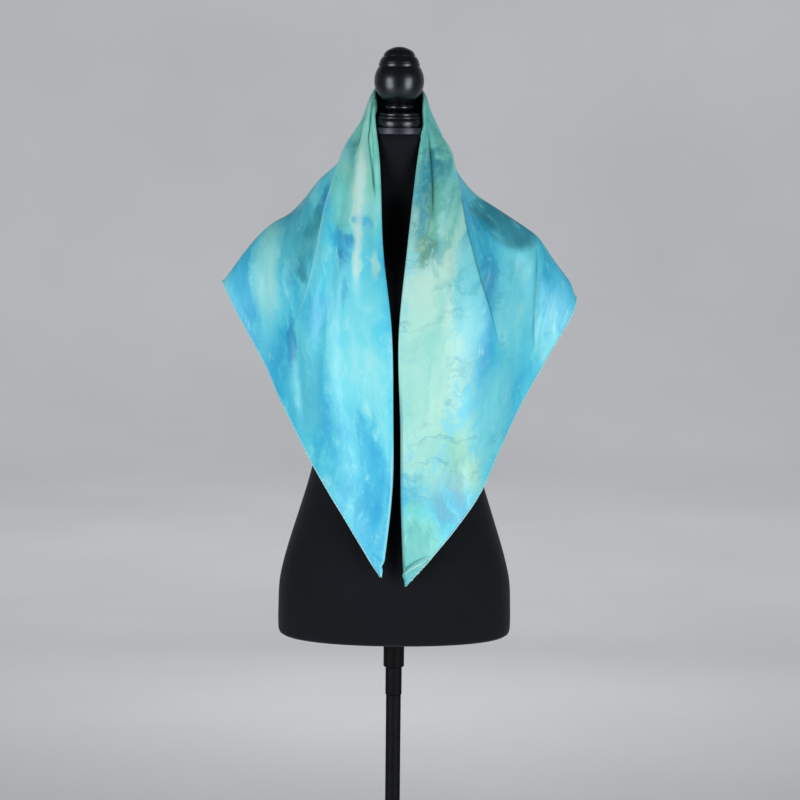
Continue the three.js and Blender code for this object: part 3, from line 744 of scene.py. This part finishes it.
# Colour set, hem distance, share, radii, strength, crispness, slant, under layer, softness; rows noted below paint
# shade or highlight, the rest are dyed colours
ZONES = tuple(DyeZone(Bath[bath], *row) for bath, *row in (
    # The last row here is a painted shadow on the cloth beside the ball's lower left
    ("MINT", 120, 0.2, 150, 42, 0.95), ("TEAL", 270, 0.3, 40, 18, 0.7), ("SHADE", 12, 0.07, 22, 9, 0.8, 0.4),
    # The first row here is a painted shadow line along the right panel's edge beside the finial
    ("OLIVE", 2192, 0.08, 30, 7, 0.6, 0.4), ("MINT", 235, 0.38, 80, 24, 0.75, 0.6),
    # The first row here is a painted highlight along the left panel's ridge
    ("PALE", 136, 0.34, 84, 7, 0.8, 0.35, -4.6), ("AZURE", 190, 0.475, 28, 22, 0.85),
    ("BLUE", 156, 0.44, 14, 8, 0.85, 0.7), ("BLUE", 170, 0.495, 18, 12, 0.75, 0.8),
    ("BLUE", 152, 0.56, 24, 5, 0.7, 0.6, -12), ("AZURE", 98, 0.368, 12, 11, 0.85, 0.5),
    ("PALE", 120, 0.48, 24, 6, 0.8, 0.5), ("PALE", 58, 0.445, 26, 7, 0.75, 0.5), ("AQUA", 75, 0.72, 230, 34, 0.8),
    ("AQUA", 262, 0.86, 90, 34, 0.75), ("BLUE", 315, 0.85, 40, 11, 0.55),
    # Both rows here are painted shade on the left shoulder cloth beside the tuck's crest
    ("TEAL", 376, 0.43, 120, 21, 1.0, 0.4, -23), ("BLUE", 385, 0.47, 34, 15, 0.75, 0.6),
    ("TEAL", 346, 0.67, 22, 8, 0.75, 0.9), ("AZURE", 60, 0.89, 110, 32, 0.75), ("TEAL", 420, 0.64, 80, 42, 0.4),
    ("AQUA", 420, 0.82, 120, 34, 0.95), ("AZURE", 430, 0.97, 90, 40, 0.8), ("AZURE", 30, 0.96, 60, 30, 0.5),
    ("PALE", 2090, 0.6, 250, 58, 0.98), ("MINT", 2120, 0.18, 120, 60, 0.95), ("TEAL", 2120, 0.34, 90, 32, 0.9),
    ("OLIVE", 2088, 0.36, 56, 9, 0.9, 0.7, 4), ("OLIVE", 2140, 0.41, 30, 11, 0.85, 0.9, 4),
    ("MINT", 2030, 0.36, 60, 24, 0.6), ("AQUA", 2000, 0.6, 90, 26, 0.8), ("AZURE", 1850, 0.46, 70, 30, 0.8),
    ("AZURE", 1735, 0.92, 70, 50, 0.8), ("AQUA", 1840, 0.74, 130, 50, 0.85),
    # The first row here is painted shade in the right shoulder's hollow, where the cloth faces up
    ("TEAL", 1758, 0.605, 76, 38, 0.72, 0.05, 48, False, 0.16), ("BLUE", 1900, 0.62, 30, 15, 0.55, 0.7),
    ("LIME", 2030, 0.91, 60, 30, 0.9), ("BLUE", 2100, 0.95, 28, 15, 0.5, 1.7, 0, False, 0.9),
    ("BLUE", 2064, 0.975, 34, 11, 0.42, 1.6, 0, False, 0.9), ("MINT", 2165, 0.96, 60, 36, 0.9, 0.7),
    # The second row here is painted light, lifting the left shoulder band where the cloth faces down
    ("TEAL", 2170, 0.97, 50, 30, 0.3, 1.4), ("PALE", 420, 0.8, 70, 24, 0.4, 1.2),
    ("PALE", 1965, 0.9, 60, 36, 0.35, 1.2), ("AQUA", 1965, 0.9, 70, 40, 0.85),
    # The first row here is a painted shadow on the collar's inside, behind the finial
    ("SHADE", 1100, 0.05, 66, 62, 0.97, 0.3, 0, True), ("PALE", 900, 0.7, 150, 90, 0.8),
    ("MINT", 1250, 0.5, 160, 80, 0.8), ("TEAL", 760, 0.4, 90, 60, 0.7), ("OLIVE", 1330, 0.78, 60, 40, 0.8),
    ("BLUE", 1480, 0.8, 120, 60, 0.7), ("AQUA", 1060, 0.85, 90, 90, 0.7),
    ("PALE", 2060, 0.6, 240, 80, 0.9, 1.0, 0, True), ("AZURE", 300, 0.8, 200, 90, 0.7, 1.0, 0, True),
))


@dataclass
class SilkSquare:
    """The silk square, folded on its diagonal and hung from the fold's middle.

    A strand runs from the fold's middle to the hem. It is named by its hem distance, 0 at the left
    front tip, LEG at the back point, and 2 LEG at the right front tip.
    """

    form: DressForm
    columns: int = 321
    levels: int = 100
    turn: int = 3
    layer_gap: float = 0.95
    fold_gap: float = 2.3
    hem_gap: float = 1.4
    thick: float = 0.3
    # Width in mm of the painted light along the tuck crests
    mark_wide: float = 5.2

    def __post_init__(self) -> None:
        """Works out the strands' curves."""
        self.keys = np.array([row[0] for row in STRANDS], float)
        self.curves = [self._curve(np.vstack([FOLD_MIDDLE, row[1]])) for row in STRANDS]
        self.alongs = self._columns()
        self.shares = self._levels()

    @staticmethod
    def _curve(points: Array, cuts: int = 160) -> tuple[Array, Array]:
        """Samples a smooth curve through points.

        Args:
            points: Points that the curve passes.
            cuts: Samples along the whole curve.

        Returns:
            Shares of its length and the samples there.
        """
        first, final = 2 * points[0] - points[1], 2 * points[-1] - points[-2]
        p = np.vstack([first, points, final])
        gaps = np.linalg.norm(np.diff(p, axis=0), axis=1) ** 0.5
        spots = np.linspace(0, len(points) - 1, cuts + 1)
        k = np.minimum(spots.astype(int), len(points) - 2)
        s = (spots - k)[:, None]
        p0, p1, p2, p3 = p[k], p[k + 1], p[k + 2], p[k + 3]
        d0, d1, d2 = gaps[k][:, None], gaps[k + 1][:, None], gaps[k + 2][:, None]
        m1 = ((p1 - p0) / d0 - (p2 - p0) / (d0 + d1) + (p2 - p1) / d1) * d1
        m2 = ((p2 - p1) / d1 - (p3 - p1) / (d1 + d2) + (p3 - p2) / d2) * d1
        samples = cubic(s, p1, m1, p2, m2)
        lengths = np.concatenate([[0], np.cumsum(np.linalg.norm(np.diff(samples, axis=0), axis=1))])
        return lengths / lengths[-1], samples

    def _columns(self) -> Array:
        """Hem distances of the mesh columns, closer at the tucks and on the front."""
        a = np.linspace(0, 2 * LEG, 4401)
        density = 1 / 16 + 1 / 14 * (smooth(540, 420, a) + smooth(1640, 1740, a))
        density += 0.08 * bell(a - 1790, 45) + 0.05 * bell(a - 2085, 60)
        density += 0.1 * (bell(a, 45) + bell(2 * LEG - a, 45))
        for tuck in TUCKS:
            density += 0.045 * tuck.lap * bell(a - np.mean(tuck.at(np.array([0.3, 0.6]))), 17)
        return spaced(a, density, self.columns)

    def _levels(self) -> Array:
        """Strand shares of the mesh rows, closer at the neck and at the tips."""
        s = np.linspace(0, 1, 2001)
        return spaced(s, 1 + 0.5 * bell(s - 0.18, 0.14) + 4.2 * bell(1 - s, 0.032), self.levels)

    def plain(self, alongs: Array, shares: Array) -> Array:
        """Middle of the cloth before its folds, by hem distance and share."""
        shares = np.clip(shares, 0, 1)
        rows = np.stack([np.stack([np.interp(shares, at, samples[:, axis]) for axis in range(3)], axis=-1)
                         for at, samples in self.curves], axis=1)
        return np.swapaxes(through(self.keys, rows, alongs, LEG), 0, 1)

    @staticmethod
    def frames(surface: Callable, alongs: Array, shares: Array) -> tuple[Array, ...]:
        """Directions on a surface.

        Args:
            surface: Function of hem distances and shares.
            alongs: Hem distances.
            shares: Strand shares.

        Returns:
            Down the strand, round along the hem, and out of the cloth.
        """
        down = unit(surface(alongs, np.minimum(1, shares + 0.004)) - surface(alongs, np.maximum(0, shares - 0.004)))
        right = np.minimum(2 * LEG, alongs + 2)
        left = np.maximum(0, alongs - 2)
        round_ = unit(surface(right, shares) - surface(left, shares))
        return down, round_, unit(np.cross(round_, down))

    def silk(self, alongs: Array, shares: Array) -> Array:
        """Middle of the cloth with its tucks, folds and creases."""
        _, round_, out = self.frames(self.plain, alongs, shares)
        shift, height = np.zeros((2, len(alongs), len(shares)))
        for tuck in TUCKS:
            x, share = self.across(tuck, alongs, shares)
            shift += -tuck.side * tuck.lap * share * x * np.exp(0.5 - x * x / 2)
            height += tuck.rise * share * (1 - smooth(-0.85, 0.85, x)) * bell(x * tuck.wide, tuck.far)
        for fold in FOLDS:
            bump = bell(alongs[:, None] - fold.along, fold.wide) * fade(fold, shares)
            shift += fold.lean * bump
            height += fold.rise * bump
        height += self.creases(alongs, shares)
        notch, crumple = self.tips(alongs, shares)
        points = self.plain(alongs, shares) + round_ * shift[..., None] + out * (height + crumple)[..., None]
        points[..., 0] += notch
        return self.form.clear(points)

    def across(self, tuck: Tuck, alongs: Array, shares: Array) -> tuple[Array, Array]:
        """Place across a tuck in its own widths, and how far the tuck has closed there."""
        at, rows = tuck.at(shares), np.arange(len(shares))
        low, high = (self.plain(np.clip(at + step, 0, 2 * LEG), shares)[rows, rows] for step in (-4, 4))
        spread = np.linalg.norm(high - low, axis=-1) / 8
        return tuck.side * (alongs[:, None] - at) * spread / tuck.wide, fade(tuck, shares)

    def marks(self, alongs: Array, shares: Array) -> Array:
        """Painted light along the tucks' crests and the front's two folded edges: above 0 painted highlight, below 0
        painted shade.
        """
        u, w = on_cloth(alongs[:, None], shares)
        # Painted highlight along the left panel's folded edge, painted shade along the right panel's
        edge = np.where(u < 0, 0.75 * smooth(0.7, 0.8, shares), -0.6 * smooth(0.55, 0.7, shares))
        total = edge * bell(w, 2.0)
        for tuck in TUCKS:
            x, share = self.across(tuck, alongs, shares)
            loose = np.minimum(1, tuck.wide / np.maximum(1e-6, math.exp(0.5) * tuck.lap * share))
            crest = -np.sqrt((1 - loose) / 1.25)
            total += tuck.mark * (share > 0.3) * bell((x - crest) * tuck.wide, self.mark_wide)
        return total

    def tips(self, alongs: Array, shares: Array) -> tuple[Array, Array]:
        """Sideways pull and crumple in mm at the front tips, the right one turned over, and the right corner."""
        u, w = on_cloth(alongs[:, None], shares)
        from_tip, right = FOLD_HALF - np.abs(u), u > 0
        past = from_tip - np.where(right, 20 + w / 2, 21 + 0.4 * w)  # distance above the line of the turned tip
        notch = -2.2 * bell(past + 5, 4) * bell(w, 9)
        crumple = 4.2 * bell(past + 1, 2.2) - 3.4 * bell(past - 4, 3.2)
        crumple += smooth(1, -3, past) * 1.2 * np.sin((past + 0.35 * w) * 2 * math.pi / 7)
        near = smooth(40, 27, from_tip)
        crumple = np.where(right, crumple, 0.45 * crumple * bell(w, 12))
        corner = 5 * bell(alongs[:, None] - 1721, 20) * smooth(0.93, 1, shares)
        return notch * near - corner, crumple * near

    def creases(self, alongs: Array, shares: Array) -> Array:
        """Height in mm of the short creases."""
        u, w = on_cloth(alongs[:, None], shares)
        height = np.zeros_like(u)
        for c in CREASES:
            start, end = c.ends()
            run = end - start
            length = np.hypot(*run)
            s = ((u - start[0]) * run[0] + (w - start[1]) * run[1]) / length**2
            off = ((w - start[1]) * run[0] - (u - start[0]) * run[1]) / length - c.bow * 4 * s * (1 - s)
            ends = smooth(-0.1, 0.3, s) * (1 - smooth(0.7, 1.1, s))
            height += c.rise * bell(off, c.wide) * ends
        return height

    def peek(self, alongs: Array) -> Array:
        """How far the under layer's hem hangs past the outer one, in mm."""
        wave = 1.2 + 1.4 * np.sin(alongs / 87.0 + 1.1) + 0.8 * np.sin(alongs / 41.0 + 0.4)
        return wave * smooth(0, 220, to_tip(alongs))

    def build(self) -> Piece:
        """Builds both layers as one sheet, turned over along the fold."""
        a, t = self.alongs, self.shares
        middle = self.silk(a, t)
        down, round_, out = self.frames(self.silk, a, t)
        out[:, 0] = unit(np.array([0, 0.93, 0.37]))
        past = unit(np.cross(out, round_))
        u, w = on_cloth(a[:, None], t)
        gap = self.layer_gap + (self.hem_gap - self.layer_gap) * smooth(0.97, 1, t)
        gap = gap + (self.fold_gap - self.layer_gap) * (1 - smooth(1, 17, w)) * smooth(0.03, 0.12, t)
        gap = gap * (0.35 + 0.65 * smooth(0, 34, FOLD_HALF - np.abs(u)))
        ripple = 0.28 * np.sin(u / 31 + 2.2 * np.sin(w / 57)) * np.sin(w / 23 + 1.7 * np.sin(u / 74))
        outer = middle + out * (gap + ripple)[..., None]
        under = middle - out * (gap - ripple * 0.4)[..., None]
        hang = self.peek(a)[:, None] * smooth(0.9, 1, t)
        under = under + past * hang[..., None]

        def turn(edge: int, side: float) -> list[Array]:
            """Columns round the fold, from the outer layer to the under one."""
            aside = unit(np.cross(down[edge], out[edge])) * side
            aside[0] = unit(np.array([0, -0.3, 1.0]))
            spread = np.linspace(0, math.pi, self.turn + 2)[1:-1]
            return [middle[edge] + (gap[edge][:, None]) * (out[edge] * math.cos(k) + aside * math.sin(k))
                    for k in spread]

        def sheet(front: Array, right: object, back: Array, left: object) -> Array:
            """Columns of the outer layer, the right fold, the under layer, half as dense, and the left fold."""
            return np.array([*front, *right, *back[::-2], *left, front[0]])

        columns = sheet(outer, turn(-1, 1.0), under, turn(0, -1.0)[::-1])
        level = [np.zeros_like(w[0])] * self.turn
        uv = uv_place(sheet(u, [u[-1]] * self.turn, u, [u[0]] * self.turn), sheet(w, level, -w, level))
        # Painted edge light goes on the outer layer only
        mark = self.marks(a, t)
        marks = sheet(mark, [mark[-1]] * self.turn, 0 * mark, [mark[0]] * self.turn)
        piece = placed_grid("silk_square", columns, uv, marks)
        shell = piece.modifiers.new("silk_thickness", "SOLIDIFY")
        shell.thickness, shell.offset = self.thick * MM, 0.0
        return piece


@dataclass
class RolledHem:
    """Hand rolled hem of one side of the square, on one layer, with its slip stitches."""

    silk: SilkSquare
    name: str
    right: bool
    under: bool
    radius: float = 1.2
    sides: int = 8
    pitch: float = 6.5
    cuts: int = 420

    def line(self, count: int) -> tuple[Array, Array, Array, Array, Array]:
        """Centre line of the roll.

        Args:
            count: Points along it.

        Returns:
            Hem distances, centres, and directions along, out of the cloth and past its edge.
        """
        ends = (LEG + 0.8, 2 * LEG) if self.right else (0, LEG - 0.8)
        a = np.linspace(*ends, count)
        read = np.clip(a, ends[0] + 2.5 * self.right, ends[1] - 2.5 * (not self.right))
        edge = np.array([1.0])
        _, round_, out = (v[:, 0] for v in self.silk.frames(self.silk.silk, read, edge))
        past = unit(np.cross(out, round_))
        side = -1 if self.under else 1
        tip = 0.35 + 0.65 * smooth(0, 48, to_tip(a))[:, None]
        beyond = 0.9 + (self.silk.peek(a) if self.under else 0 * a)
        wander = 0.22 * np.sin(a / 13.0) * np.sin(a / 29.0 + side)
        centre = self.silk.silk(a, edge)[:, 0] + out * side * self.silk.hem_gap * tip
        centre = centre + past * (beyond + wander)[:, None]
        return a, centre, round_, out, past

    def build(self) -> Piece:
        """Builds the roll, pinched at each stitch."""
        a, centre, _, out, past = self.line(self.cuts)
        pinch = 0.5 + 0.5 * np.cos(2 * math.pi * a / self.pitch)
        radius = self.radius * (1 - 0.16 * pinch**3 + 0.07 * np.sin(a / 17.0))
        radius *= 0.45 + 0.55 * smooth(0, 34, to_tip(a))
        angle = np.linspace(0, 2 * math.pi, self.sides + 1)
        angle[-1] = 0
        radius[[0, -1]] = 0
        ring = out[:, None] * np.cos(angle)[None, :, None] - past[:, None] * np.sin(angle)[None, :, None]
        points = centre[:, None] + ring * radius[:, None, None]
        u, w = on_cloth(a, 0.995)
        uv = np.repeat(uv_place(u, -w if self.under else w)[:, None], self.sides + 1, axis=1)
        return placed_grid(self.name, points, uv)

    def stitches(self) -> Piece:
        """Builds the slip stitches over the roll."""
        count = int(LEG / self.pitch)
        _, centre, round_, out, past = self.line(count)
        side = -1 if self.under else 1
        bm = bmesh.new()
        for k in range(1, count - 1):
            face = unit(out[k] * side - past[k] * 0.55)
            run = unit(unit(np.cross(face, round_[k])) + round_[k] * 0.55)
            place = Matrix((Vector(run), Vector(np.cross(face, run)), Vector(face))).transposed().to_4x4()
            place.translation = Vector((centre[k] + face * self.radius * 0.86) * MM)
            size = Matrix.Diagonal((1.05 * MM, 0.26 * MM, 0.24 * MM, 1))
            bmesh.ops.create_uvsphere(bm, u_segments=6, v_segments=4, radius=1.0, matrix=place @ size)
        return finished(self.name + "_stitches", bm)


@dataclass
class Finial:
    """Turned finial with its rings, ball, bead and domed cap, and the metal band under it."""

    ring_low: float = 1386.2
    top: float = 1496.6

    def profile(self) -> list[tuple[float, float]]:
        """Radius and height pairs of the turning."""
        lower = arcs([(0, self.ring_low, 0), (31.2, self.ring_low, 0), (31.3, 1387.2, 0), (31.2, 1396.4, 1.1),
                      (30.1, 1397.2, 0), (28.9, 1401.2, 1.5), (27.6, 1401.7, 0), (25.2, 1405.9, 1.7),
                      (16.0, 1408.6, -0.6), (15.6, 1418.6, 4.4)])
        ball = [(BALL_R * math.cos(a), BALL_Z + BALL_R * math.sin(a))
                for a in np.radians(np.linspace(-62, 34, 26))]
        upper = arcs([(28.0, 1469.5, 0), (28.2, 1473.6, 0.3), (27.5, 1474.1, 0), (25.2, 1480.0, 0.5),
                      (22.4, 1482.9, 0.4), (21.9, 1483.6, -0.1), (18.8, 1489.7, 0.7), (14.4, 1492.8, 0.4),
                      (0, self.top, 1.0)])
        return lower + ball + upper

    def build(self) -> Piece:
        """Builds the finial."""
        return turned("turned_finial", self.profile(), 112)

    def band(self) -> Piece:
        """Builds the band."""
        return eased_rod("metal_band", BAND_R, BAND_LOW, BAND_HIGH, 1.1, 112)


@dataclass
class Stand:
    """Pole with its socket and clamp sleeve, and the round base."""

    pole_r: float = 10.5
    plate_r: float = 180

    def build(self) -> dict[str, Piece]:
        """Builds the pieces, by the solid that each stands for."""
        plate = turned("round_base", arcs([
            (0, 0, 0), (self.plate_r - 2, 0, 0), (self.plate_r, 2, 0.5), (self.plate_r, 7, 0),
            (self.plate_r - 3, 10.2, 0.6), (self.plate_r - 10, 12, 0.5), (0, 12, 0)]), 160)
        return {
            "pole_socket": eased_rod("socket_under_body", 14.6, 627, 674.6, 1.4),
            "pole_sleeve": eased_rod("clamp_sleeve", 11.5, 587, 626.6, 0.9),
            "pole": eased_rod("upright_pole", self.pole_r, 48.6, 586.6, 0.7),
            "base_hub": turned("hub_on_base", arcs([(0, 12.4, 0), (25.6, 12.4, 0), (27, 14.4, 0.4), (26.4, 20, 0),
                                                    (20, 42, -1.2), (17.5, 47.2, 0.4), (15.5, 48.2, 0.2),
                                                    (0, 48.2, 0)]), 72),
            "base_plate": plate,
        }


@dataclass
class Studio:
    """Pale floor that sweeps up all round, soft lights and the camera."""

    eye: Triple = (0.0053, -3.777, 1.423)
    pitch: float = 6.3
    roll: float = 0.55
    reach: float = 3800 / 1.4
    picture: float = 800

    def floor(self) -> None:
        """Builds the floor."""
        flat, bend, high, below = 6500, 2500, 7000, -0.2
        profile = [(0, below), (flat, below)]
        profile += [(flat + bend * math.sin(a), below + bend * (1 - math.cos(a)))
                    for a in np.linspace(0.1, math.pi / 2, 16)]
        sweep = turned("studio_floor", [*profile, (flat + bend, high)])
        b = Bench("pale_floor")
        colour = b.ramp(b.noise(b.place(), 0.8, 3), ((0.3, (196, 197, 200)), (0.7, (204, 205, 208))))
        sweep.data.materials.append(b.surface(Base_Color=colour, Roughness=0.9))

    def soft_light(self, name: str, at: Triple, aim: Triple, size: tuple[float, float], watts: float,
                   tint: Triple, gleam: bool = True) -> None:
        """Hangs one soft light that the camera doesn't see.

        Args:
            name: Name of the light.
            at: Its place.
            aim: Place that it faces.
            size: Width and height.
            watts: Its power.
            tint: Its colour.
            gleam: Whether shiny surfaces reflect it.
        """
        lamp = bpy.data.lights.new(name, "AREA")
        lamp.shape, lamp.size, lamp.size_y, lamp.energy, lamp.color = "RECTANGLE", *size, watts, tint
        holder = linked(name, lamp)
        holder.location = at
        holder.rotation_euler = (Vector(aim) - Vector(at)).to_track_quat("-Z", "Y").to_euler()
        holder.visible_camera = False
        holder.visible_glossy = gleam

    def lights(self) -> None:
        """Hangs the lights and sets the room's fill."""
        white, cool = (1.0, 1.0, 1.0), (0.95, 0.98, 1.0)
        for side, name in ((-1, "left"), (1, "right")):
            self.soft_light(name + "_softbox", (side * 1.5, -1.5, 1.0), (0, 0, 1.05), (1.0, 1.7), 29, cool)
        self.soft_light("back_softbox", (0, 3.0, 1.5), (0, 0, 1.1), (1.2, 1.4), 15, white, False)
        self.soft_light("backdrop_light", (0, 3.0, 5.0), (0, 9.0, 0.5), (6.0, 2.0), 290, white)
        world = bpy.data.worlds.new("room_fill")
        world.use_nodes = True
        fill = world.node_tree.nodes["Background"].inputs
        fill[0].default_value, fill[1].default_value = (0.75, 0.78, 0.82, 1), 0.1
        bpy.context.scene.world = world
        bpy.context.scene.view_settings.view_transform = "Standard"

    def camera(self) -> None:
        """Places the camera."""
        lens = bpy.data.cameras.new("camera")
        lens.sensor_width = 36
        lens.lens = lens.sensor_width * self.reach / self.picture
        lens.clip_end = 60
        pitch, roll = math.radians(self.pitch), math.radians(self.roll)
        right, up = Vector((1, 0, 0)), Vector((0, math.sin(pitch), math.cos(pitch)))
        ahead = Vector((0, math.cos(pitch), -math.sin(pitch)))
        r2, u2 = right * math.cos(roll) + up * math.sin(roll), up * math.cos(roll) - right * math.sin(roll)
        holder = linked("camera", lens)
        matrix = Matrix((r2, u2, -ahead)).transposed().to_4x4()
        matrix.translation = Vector(self.eye)
        holder.matrix_world = matrix
        bpy.context.scene.camera = holder


def main() -> None:
    """Builds the sub-assemblies in order and dresses them."""
    studio = Studio()
    studio.camera()
    studio.floor()
    studio.lights()

    form = DressForm()
    body = keep(form.build(), Jersey().material(), "jersey", "form_torso")
    finial = Finial()
    lacquer = Coating("satin_lacquer", (5, 5, 8), (8, 8, 11), 0.3, 240, 0.0002, shine=0.8,
                      glint=(0.84, 0.92, 1.0, 1.0)).material()
    metal = Coating("band_metal", (62, 64, 72), (76, 78, 88), 0.42, 500, 0.0001, metallic=0.7).material()
    powder = Coating("pole_powder", (4, 4, 6), (8, 8, 10), 0.6, 900, 0.0002, shine=0.15).material()
    turning = keep(finial.build(), lacquer, "lacquer", "finial")
    keep(finial.band(), metal, "band_metal", "neck_band")
    for node, piece in Stand().build().items():
        keep(piece, powder, "pole_paint", node)

    silk = SilkSquare(form)
    # Dyed colours together with painted shade and highlights
    dye = SilkDye(zones=ZONES, creases=INKED).material()
    sheet = keep(silk.build(), dye, "silk", "scarf_cloth")
    hem_finish = SilkDye("rolled_hem_silk", 0.6, 0.5, ZONES).material()
    thread = Coating("hem_thread", (40, 140, 168), (70, 176, 196), 0.6, 900, 0.0001).material()
    for name, right, under in (("hem_left_outer", False, False), ("hem_left_under", False, True),
                               ("hem_right_outer", True, False), ("hem_right_under", True, True)):
        hem = RolledHem(silk, "rolled_" + name, right, under)
        keep(hem.build(), hem_finish, "silk_hem", name)
        keep(hem.stitches(), thread, "silk_hem")


if __name__ == "__main__":
    main()
